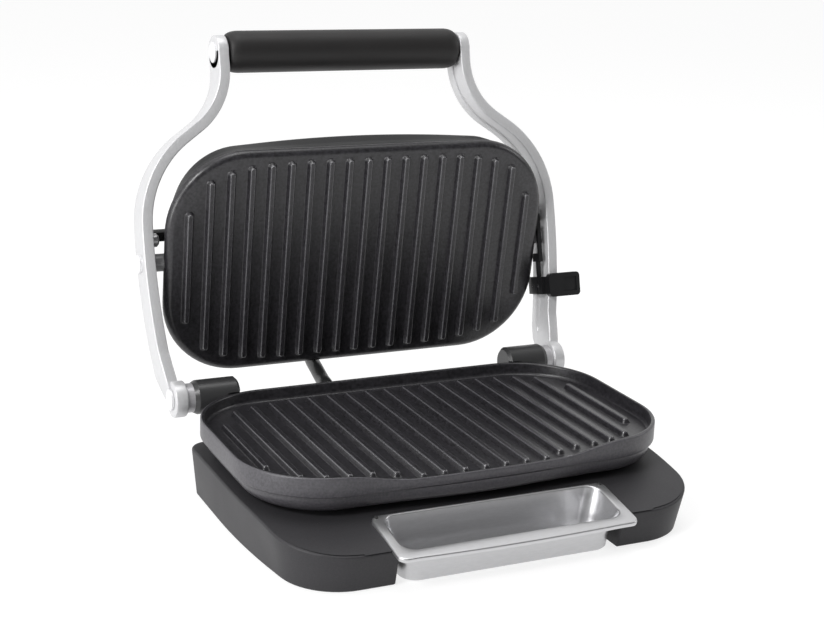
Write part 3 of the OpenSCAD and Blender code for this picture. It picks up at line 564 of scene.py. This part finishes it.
def on_outer_wall(middle):
    """Faces within 1 mm of the plate's outline, measured from the centres of its corners."""
    inner = np.array([lower_half_w - plate_corner, lower_half_d - plate_corner])
    y = middle[:, 1] + plate_ahead + lip_bulge * fade(middle[:, 0], 0, bulge_half) * (middle[:, 1] < 0)
    away = np.hypot(*np.maximum(np.abs(np.stack([middle[:, 0], y])) - inner[:, None], 0))
    return away > plate_corner - 1.0


def on_crest_highlight(middle):
    """Faces on the rounded edge between a rib's slope and its crest, which get a lighter, glossier coat: the lighter
    colour is a painted highlight.
    """
    over_rib = np.abs((middle[:, 0] + rib_pitch / 2) % rib_pitch - rib_pitch / 2) < 3.2
    return (middle[:, 2] > -1.1) & (middle[:, 2] < -0.03) & over_rib


# Painted highlight: the lighter crest coat goes on the rounded edges of the lower plate's ribs.
coat(lower_grid, crest_painted_highlight, on_crest_highlight, at_crest)
# Painted light: the plate's outer wall gets the lighter copy of its coat.
coat(lower_grid, plate_wall_painted_light, on_outer_wall)
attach(lower_grid, "base")
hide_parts("lower_plate")

# ---------------------------------------------------------------------------
# Pan under the lower plate: pressed sheet with a well rounded lower edge and
# a foot on the deck, in a charcoal coat about as light as the plate's outer wall.
# ---------------------------------------------------------------------------
pan_dark = finish("pan_dark", (0.058, 0.055, 0.062), 0.40, spread=0.25, grain=0.8, bump=0.02, gloss=0.6)
pan_corner = plate_corner - 4.5
pan_top = 46.9
pan_floor = 35.3
pan_edge = 9.6
pan_at, pan_way = plate_path(lower_half_w - 4.0, lower_half_d - 2.0, pan_corner)
pan_bulge = 4.0 * fade((pan_at + pan_corner * pan_way)[:, 0], 0, bulge_half) * (pan_way[:, 1] < -0.9)


def pan_ring(inset, z):
    """Ring of the pan, moved in from its outline, at height z."""
    at = pan_at + (pan_corner - inset) * pan_way
    at[:, 1] -= pan_bulge + plate_ahead
    return level(at, z)


rows = [pan_ring(9, pan_top), pan_ring(0.5, pan_top), pan_ring(0, pan_top - 0.3), pan_ring(0, pan_floor + pan_edge)]
for a in np.radians([12, 24, 36, 48, 60, 72, 84, 90]):
    rows.append(pan_ring(pan_edge * (1 - math.cos(a)), pan_floor + pan_edge * (1 - math.sin(a))))
rows += [pan_ring(inset, z) for inset, z in (
    (22, pan_floor), (26, deck_z), (32, deck_z), (32, deck_z + 3), (12, deck_z + 4), (9, pan_top))]
pan = put("lower_pan_pressing", surface_mesh("lower_pan_pressing", [(np.array(rows), True)]), pan_dark)
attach(pan, "base")
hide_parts("lower_pan")

# ---------------------------------------------------------------------------
# Hinge barrels on posts behind the lower plate, their collars and steel pins.
# ---------------------------------------------------------------------------
dress(finish("hinge_black", (0.036, 0.036, 0.037), 0.34, spread=0.05), "hinge_bracket_left", "hinge_bracket_right")
dress(finish("collar_grey", (0.52, 0.515, 0.53), 0.36, metal=0.3), "hinge_collar_left", "hinge_collar_right")
dress(finish("pin_steel", (0.82, 0.82, 0.83), 0.34, metal=0.35, spread=0.03), "hinge_pin_left", "hinge_pin_right",
      "handle_rod", "handle_caps", "pivot_pin_left", "pivot_pin_right")
dress(finish("stop_steel", (0.36, 0.36, 0.365), 0.3, metal=0.5), "stop_pins")

# ---------------------------------------------------------------------------
# Lid arms: aluminium bars with rounded edges, bent in an S above the head,
# with a raised band along the inner face, an eye below and a round top.
# ---------------------------------------------------------------------------
arm_silver = finish("arm_silver", (0.67, 0.67, 0.68), 0.38, metal=0.35, spread=0.03, grain=0.5, bump=0.006,
                    stretch=(1, 1, 0.2))
hinge_y, hinge_z = 95.0, 57.0
arm_lean = math.radians(14.3)
arm_x, arm_t, arm_front, arm_depth = 162.8, 8.0, 5.6, 24.0
arm_top_x, arm_len = 97.0, 245.8
bow_r, bow_s = 600.0, 108.0
bow_above = 16.0
bend_r1, return_r = 76.0, 52.0
bend_a = math.radians(55)
band_h = 1.2


def frame_at(y, z, turn, dy=0.0, dz=0.0):
    """Frame turned about the X axis through (y, z), then moved by (dy, dz) along its own axes."""
    c, s = math.cos(turn), math.sin(turn)
    return np.array([[1, 0, 0, 0], [0, c, -s, y + c * dy - s * dz], [0, s, c, z + s * dy + c * dz], [0, 0, 0, 1.0]])


arm_frame = frame_at(hinge_y, hinge_z, -arm_lean)
a1 = math.asin(bow_above / bow_r)
bend_c = np.array([arm_x - bow_r, bow_s]) + (bow_r - bend_r1) * np.array([math.cos(a1), math.sin(a1)])
straight = (bend_c[0] + bend_r1 * math.cos(bend_a) - arm_top_x - return_r * (1 - math.cos(bend_a))) / math.sin(bend_a)
return_s = bend_c[1] + bend_r1 * math.sin(bend_a) + straight * math.cos(bend_a) + return_r * math.sin(bend_a)
bow = np.linspace(math.asin(-bow_s / bow_r), a1, 36)
bend = np.linspace(a1, bend_a, 26)[1:]
back = np.linspace(math.pi + bend_a, math.pi, 26)
line = np.concatenate([
    np.array([arm_x - bow_r, bow_s]) + bow_r * np.stack([np.cos(bow), np.sin(bow)], -1),
    bend_c + bend_r1 * np.stack([np.cos(bend), np.sin(bend)], -1),
    np.array([arm_top_x + return_r, return_s]) + return_r * np.stack([np.cos(back), np.sin(back)], -1),
    [[arm_top_x, arm_len]]])
normal = np.concatenate([np.stack([np.cos(bow), np.sin(bow)], -1), np.stack([np.cos(bend), np.sin(bend)], -1),
                         -np.stack([np.cos(back), np.sin(back)], -1), [[1.0, 0.0]]])
s_at = line[:, 1]
front_edge = np.interp(s_at, [0, 12, 20, 35], [0.0, 0.0, 1.8, arm_front])
back_edge = np.interp(s_at, [0, 15], [16.9, arm_front + arm_depth])
band = band_h * np.clip((s_at - 20) / 2, 0, 1)


def arm_section(edge=1.1):
    """Section of the bar as (across, thickness) points: y from 0 at the front to 1 at the back as a share plus a
    part in millimetres, and the distance out; corners rounded, the band on the inner side near the back."""
    a = np.radians([0, 22.5, 45, 67.5, 90])
    c, s = edge * np.cos(a), edge * np.sin(a)
    one = np.ones_like(a)
    half = arm_t / 2
    share = np.concatenate([0 * one, one, one, one, 0 * one])
    mm_y = np.concatenate([edge - c, s - edge, c - edge, [-9.2, -9.5, -9.7, -9.9, -10.3], edge - s])
    out = np.concatenate([half - edge + s, half - edge + c, edge - half - s, -half * one, edge - half - c])
    banded = np.concatenate([0 * one, 0 * one, one, [1, 0.9, 0.5, 0.1, 0], 0 * one])
    return share, mm_y, out, banded


share_y, mm_y, out_n, banded = arm_section()
across_y = front_edge[:, None] + (back_edge - front_edge)[:, None] * share_y[None] + mm_y[None]
across_y = np.maximum(across_y, front_edge[:, None])
out_by = out_n[None] - banded[None] * band[:, None]
bar = np.stack([line[:, 0][:, None] + normal[:, 0][:, None] * out_by, across_y,
                line[:, 1][:, None] + normal[:, 1][:, None] * out_by], -1)
ends = [np.broadcast_to(bar[i].mean(0), bar[:1].shape) for i in (0, -1)]
bar = np.concatenate([ends[0], bar, ends[1]])


def disc(x0, x1, r, y, z, edge, steps=56):
    """Round disc across X from x0 to x1 with rounded edges: a half profile turned about the axis (y, z)."""
    a = np.radians([0, 30, 60, 90])
    rx = np.concatenate([[x0], x0 + edge - edge * np.cos(a), x1 - edge + edge * np.sin(a), [x1]])
    rr = np.concatenate([[0], r - edge + edge * np.sin(a), r - edge + edge * np.cos(a), [0]])
    t = np.linspace(0, 2 * math.pi, steps, endpoint=False)
    x = np.repeat(rx[:, None], steps, 1)
    return np.stack([x, y + rr[:, None] * np.cos(t), z + rr[:, None] * np.sin(t)], -1), True


eye_r, eye_in, eye_out = 13.0, 147.8, 156.6
arm_mid = arm_front + arm_depth / 2
for name, sign in (("left", -1), ("right", 1)):
    parts = [(bar, True), disc(eye_in, eye_out, eye_r, 0, 0, 0.9),
             disc(arm_top_x - arm_t / 2, arm_top_x + arm_t / 2, 12.3, arm_mid, arm_len, 0.9)]
    parts = [(g * np.array([sign, 1, 1]), c) for g, c in parts]
    arm = put("lid_arm_" + name, surface_mesh("lid_arm_" + name, parts, arm_frame), arm_silver, 40)
    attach(arm, "lid_arms")
    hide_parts("arm_" + name)
dress(finish("grip_black", (0.015, 0.014, 0.014), 0.5, spread=0.08, grain=0.4, bump=0.02, gloss=0.35), "handle_grip")

# ---------------------------------------------------------------------------
# Upper cooking plate: the same cast metal, flat, with a rounded edge.
# ---------------------------------------------------------------------------
pivot_y, pivot_z = 136.8857, 146.4250
head_lean = math.radians(7.35)
pivot_up, pivot_behind = 2.0, 13.8
head_frame = frame_at(pivot_y, pivot_z, math.pi / 2 + head_lean, -pivot_up, pivot_behind)
upper_t = 9.5
centres, ways = plate_path(plate_half_w, plate_half_d, plate_corner)


def upper_ring(inset, z):
    """Ring of the upper plate, moved in from its outline, at height z."""
    return level(centres + (plate_corner - inset) * ways, z)


def upper_middle(share, z):
    """Ring that shrinks with share towards the plate's middle."""
    return level(centres * share, z)


edge_r = 5.4
rows = [upper_middle(k, -upper_t) for k in (0, 0.5, 1)] + [upper_ring(0.1, -upper_t), upper_ring(0, -upper_t + 0.15)]
for a in np.radians([0, 15, 30, 45, 60, 75, 90]):
    rows.append(upper_ring(edge_r * (1 - math.cos(a)), -rib_h - edge_r * (1 - math.sin(a))))
rows += [upper_ring(20, -rib_h), upper_ring(40, -rib_h)] + [upper_middle(k, -rib_h) for k in (1, 0.5, 0)]
upper_grid = put("upper_cooking_plate", surface_mesh(
    "upper_cooking_plate", [(np.array(rows), True)] + rib_patches(0), head_frame), plate_nonstick, 50)
# Painted highlight: the lighter crest coat goes on the rounded edges of the upper plate's ribs.
coat(upper_grid, crest_painted_highlight, on_crest_highlight, head_frame)
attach(upper_grid, "upper_head")
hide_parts("upper_plate")

# ---------------------------------------------------------------------------
# Upper housing: one deep moulding in black plastic with a crowned top, a boss
# on each side for the pivots, a stop lug above each, and a boss for the lead.
# ---------------------------------------------------------------------------
head_black = finish("head_black", (0.015, 0.015, 0.016), 0.50, spread=0.1, grain=0.5, bump=0.02, gloss=0.15)
head_first = upper_t + 0.2
head_straight = 19.5
head_flat = head_first + head_straight
head_back = upper_t + 34.5
head_gap = 0.4
side_draft, top_draft = 0.54, 0.5
head_crown = 9.0
back_round = 8.0
head_wall = 11.0


def head_ring(d, more, crown, steps=16):
    """Ring of the housing at depth d: a rectangle with rounded corners and a crowned top edge. The sides draw in
    with the depth by side_draft, and the top behind the straight part by top_draft; more draws all of it in."""
    cut = head_gap + side_draft * max(0, d - head_first) + more
    if d < head_flat:
        up = plate_half_d - 0.2 + 1.2 * np.clip((d - head_first - 8) / (head_straight - 8), 0, 1) - more
    else:
        up = plate_half_d + 1 - top_draft * (d - head_flat) - more
    w, down, r = plate_half_w - cut, plate_half_d - cut, max(4.0, plate_corner - cut)
    a = w - r
    drop = crown * (a / w) ** 2
    low = np.radians(np.linspace(-90, 0, steps))
    topa = np.radians(np.linspace(0, 88, steps))
    xs = a * np.linspace(1, 0, 12)[1:]
    half = np.concatenate([
        np.stack([a + r * np.cos(low), r - down + r * np.sin(low)], -1),
        np.stack([a + r * np.cos(topa), up - drop - r + r * np.sin(topa)], -1),
        np.stack([xs, up - crown * (xs / w) ** 2], -1)])
    ring = np.concatenate([half, (half[:-1] * [-1, 1])[::-1]])
    return level(ring, -d)


def head_inner(share, d, more, crown):
    """Ring that shrinks towards the housing's middle."""
    ring = head_ring(d, more, crown)
    ring[:, :2] *= share
    return ring


rows = [head_inner(k, head_back, back_round, head_crown) for k in (0, 0.5, 1)]
for a in np.radians([80, 65, 50, 35, 20, 10, 0]):
    rows.append(head_ring(head_back - back_round * (1 - math.sin(a)), back_round * (1 - math.cos(a)), head_crown))
for d in np.linspace(head_back - back_round - 1, head_flat, 8):
    rows.append(head_ring(d, 0, head_crown))
for d in np.linspace(head_flat, head_first + 1.2, 12)[1:]:
    rows.append(head_ring(d, 0, head_crown * (d - head_first) / head_straight))
rows += [head_ring(head_first + 0.3, 0.05, 0), head_ring(head_first, 0.3, 0), head_ring(head_first, head_wall, 0),
         head_ring(head_first + 12, head_wall, 5), head_ring(head_first + 12, 2 * head_wall, 5),
         head_ring(head_back - 3, 12, head_crown)]
rows += [head_inner(k, head_back - 3, 12, head_crown) for k in (0.5, 0)]


def block(x0, x1, y0, y1, z0, z1, edge):
    """Block with rounded edges: a rounded rectangle swept up, drawn in by a quarter circle at top and bottom."""
    base = rounded([(x0, y0), (x1, y0), (x1, y1), (x0, y1)], [edge] * 4, 5)
    mid = np.array([(x0 + x1) / 2, (y0 + y1) / 2])
    size = np.array([(x1 - x0) / 2, (y1 - y0) / 2])
    a = np.radians([90, 60, 30, 0])
    inset = np.concatenate([edge * (1 - np.cos(a)), edge * (1 - np.cos(a[::-1]))])
    z = np.concatenate([z0 + edge - edge * np.sin(a), z1 - edge + edge * np.sin(a[::-1])])
    ring = mid + (base - mid)[None] * (1 - inset[:, None, None] / size)
    grid = np.concatenate([ring, np.repeat(z[:, None, None], len(base), 1)], -1)
    first = np.concatenate([np.repeat(mid[None], len(base), 0), np.full((len(base), 1), z0)], -1)
    last = np.concatenate([np.repeat(mid[None], len(base), 0), np.full((len(base), 1), z1)], -1)
    return np.concatenate([first[None], grid, last[None]]), True


def post(x, z, r, y0, y1, edge, steps=40):
    """Round post along Y with a rounded end at y0: a half profile turned about its axis."""
    a = np.radians([0, 30, 60, 90])
    yy = np.concatenate([[y0], y0 + edge * (1 - np.cos(a)), [y1, y1]])
    rr = np.concatenate([[0], r - edge + edge * np.sin(a), [r, 0]])
    t = np.linspace(0, 2 * math.pi, steps, endpoint=False)
    y = np.repeat(yy[:, None], steps, 1)
    return np.stack([x + rr[:, None] * np.cos(t), y, z + rr[:, None] * np.sin(t)], -1), True


pivot_s = 97.0
pin_collar = 1.2
boss_r = 6.4
lug_half_w, lug_half_h, lug_depth = 8.5, 3.5, 8.0
stop_reach, stop_gap = 16.1, 5.15
gland_x, gland_z, gland_r = -25.0, -34.0, 9.0
gland_y = -plate_half_d + 8.3
pivot_gap = arm_x - bow_r + math.sqrt(bow_r ** 2 - (pivot_s - bow_s) ** 2)
boss_out = pivot_gap - arm_t / 2 - pin_collar - 0.3
stop_turn = arm_lean + head_lean
lug_x = plate_half_w - 4
lug_y = pivot_up + stop_reach * math.cos(stop_turn)
lug_z = -pivot_behind - stop_reach * math.sin(stop_turn) - stop_gap
parts = [(np.array(rows), True)]
for sign in (-1, 1):
    parts.append(disc(*sorted((sign * (plate_half_w - 9), sign * boss_out)), boss_r, pivot_up, -pivot_behind, 0.7))
    parts.append(block(sign * lug_x - lug_half_w, sign * lug_x + lug_half_w, lug_y - lug_half_h, lug_y + lug_half_h,
                       lug_z - lug_depth, lug_z, 0.8))
parts.append(post(gland_x, gland_z, gland_r, gland_y, gland_y + 19.7, 0.8))
head = put("upper_shell", surface_mesh("upper_shell", parts, head_frame), head_black, 50)
boss_grey = finish("boss_grey", (0.20, 0.20, 0.205), 0.34, spread=0.05, gloss=0.6)
coat(head, boss_grey, lambda middle: (np.abs(middle[:, 0]) > plate_half_w - 6) & (
    np.hypot(middle[:, 1] - pivot_up, middle[:, 2] + pivot_behind) < boss_r + 0.4), head_frame)
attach(head, "upper_head")
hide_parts("upper_housing")

# ---------------------------------------------------------------------------
# Lock slider on the right arm: a black block with two rivets, a thumb tab in
# front of the arm, and a thin bar up to its hook.
# ---------------------------------------------------------------------------
dress(finish("slider_black", (0.010, 0.010, 0.011), 0.34, spread=0.06, grain=0.4), "lock_block", "lock_tab", "lock_bar")
dress(finish("rivet_silver", (0.75, 0.75, 0.76), 0.25, metal=1.0, spread=0.03), "lock_rivets")

# ---------------------------------------------------------------------------
# Drip tray: one pressing of bright sheet metal with a sloping flange whose
# front edge is folded down, and a flared tub below it.
# ---------------------------------------------------------------------------
tray_silver = finish("tray_silver", (0.57, 0.57, 0.58), 0.32, metal=0.9, spread=0.03, grain=0.5, bump=0.006,
                     uneven=0.02, stretch=(0.2, 1, 1))
sheet = 1.2
flange = frame_at(-92.5, 33.5, math.radians(10))
flange_half, flange_depth, flange_corner, flange_bow = 85.0, 50.0, 6.0, 1.6
mouth_half, mouth_back, mouth_front, mouth_corner = 78.0, -2.5, -40.5, 9.0
mouth_round = 1.3
fold_h = 3.0
tub_front = -125.4
tub_middle = -109.3
tub_floor = 1.6


def tray_ring(half, back, front, r, bowed=0.0):
    """Rounded rectangle between two lines across, with a slight bow of its front edge."""
    at, way = plate_path(half, (back - front) / 2, r, 10, 24)
    ring = at + r * way
    ring[:, 1] += (back + front) / 2
    ring[:, 1] -= bowed * np.where(way[:, 1] < -0.95, np.maximum(0, 1 - (ring[:, 0] / 71) ** 2), 0)
    return ring


def on_flange(ring, z):
    """Ring on the sloping plane of the flange, z above it."""
    return level(ring, z) @ flange[:3, :3].T + flange[:3, 3]


def flange_ring(inset, z):
    """Ring of the flange, moved in from its outline."""
    return on_flange(tray_ring(flange_half - inset, -inset, inset - flange_depth, flange_corner - inset, flange_bow), z)


def mouth_ring(grow, z):
    """Ring of the mouth in the flange, moved out from its edge."""
    return on_flange(tray_ring(mouth_half + grow, mouth_back + grow, mouth_front - grow, mouth_corner + grow), z)


def tub_rings(grow):
    """Rings of the tub from its mouth to its foot, grown by the sheet's thickness for the outside."""
    mouth = mouth_ring(grow, -grow if grow else -mouth_round)
    walls = [level(tray_ring(half + grow, back + grow, front - grow, r + grow), z - grow)
             for half, back, front, r, z in (
        (74.4, -96.5, tub_front, 10, 13), (73.4, -97, tub_front, 10, 3.8),
        (72.4, -98, tub_front + 1, 9.6, 2.4), (70.8, -99.6, tub_front + 2.6, 8.6, tub_floor))]
    flare = [mouth + (walls[0] - mouth) * k for k in (0, 0.25, 0.5, 0.75)]
    centre = np.broadcast_to([0, tub_middle, tub_floor - grow], mouth.shape)
    return flare + walls + [(walls[-1] + centre) / 2, centre]


rows = tub_rings(sheet)[::-1]
rows += [flange_ring(inset, z) for inset, z in (
    (sheet, -sheet), (sheet, 0.1 - fold_h), (sheet / 2, -fold_h), (0, 0.2 - fold_h))]
rows += [flange_ring(1 - math.cos(a), math.sin(a) - 1) for a in np.radians([0, 30, 60, 90])]
for a in np.radians([90, 60, 30, 0]):
    rows.append(mouth_ring(mouth_round * (1 - math.cos(a)), mouth_round * (math.sin(a) - 1)))
rows += tub_rings(0)[1:]
tray = put("drip_tray_pressing", surface_mesh("drip_tray_pressing", [(np.array(rows), True)]), tray_silver, 50)
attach(tray, "tray")
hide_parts("drip_tray")
dress(finish("stud_dark", (0.10, 0.10, 0.10), 0.4, metal=0.8), "tray_studs")

# ---------------------------------------------------------------------------
# Lead between base and lid: a round black cable in rubber, one smooth curve.
# ---------------------------------------------------------------------------
lead_black = finish("lead_black", (0.016, 0.016, 0.016), 0.36, spread=0.06, grain=0.5, bump=0.01)


def head_point(x, y, z):
    """Point given in the head's frame."""
    return head_frame[:3, :3] @ np.array([x, y, z]) + head_frame[:3, 3]


lead_r = 5.3
lead_out = gland_y - 3
route = np.array([
    [-34, 101, 36.8], [-34, 101, 39.5], [-34, 101, 42.5],
    [-34, 103.5, 47.5], [-33, 110, 50], [-31, 123, 50], [-29, 139, 52.5], [-27, 154, 54.5],
    [-25.5, 164, 57.5],
    *[head_point(gland_x, lead_out - before, gland_z) for before in (6, 3, 0.4)]])


def smooth_route(points, steps):
    """Smooth curve through points: on each span a cubic whose slopes are half the way between its neighbours."""
    p = np.concatenate([points[:1], points, points[-1:]])
    t = np.linspace(0, 1, steps, endpoint=False)[None, :, None]
    p0, p1, p2, p3 = (p[i:len(p) - 3 + i, None, :] for i in range(4))
    curve = 0.5 * (2 * p1 + (p2 - p0) * t + (2 * p0 - 5 * p1 + 4 * p2 - p3) * t ** 2
                   + (3 * p1 - p0 - 3 * p2 + p3) * t ** 3)
    return np.concatenate([curve.reshape(-1, 3), points[-1:]])


def tube(points, r, sides=24):
    """Circle of radius r carried along a path in the plane square to it, with closed ends."""
    ahead = np.gradient(points, axis=0)
    ahead /= np.linalg.norm(ahead, axis=1)[:, None]
    u = np.cross([1.0, 0, 0], ahead)
    u /= np.linalg.norm(u, axis=1)[:, None]
    v = np.cross(ahead, u)
    t = np.linspace(0, 2 * math.pi, sides, endpoint=False)[None, :, None]
    rings = points[:, None] + r * (np.cos(t) * u[:, None] + np.sin(t) * v[:, None])
    ends = [np.repeat(points[i][None], sides, 0)[None] for i in (0, -1)]
    return np.concatenate([ends[0], rings, ends[1]]), True


lead = put("lead", surface_mesh("lead", [tube(smooth_route(route, 8), lead_r)]), lead_black)
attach(lead, "base")
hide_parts("lid_lead")
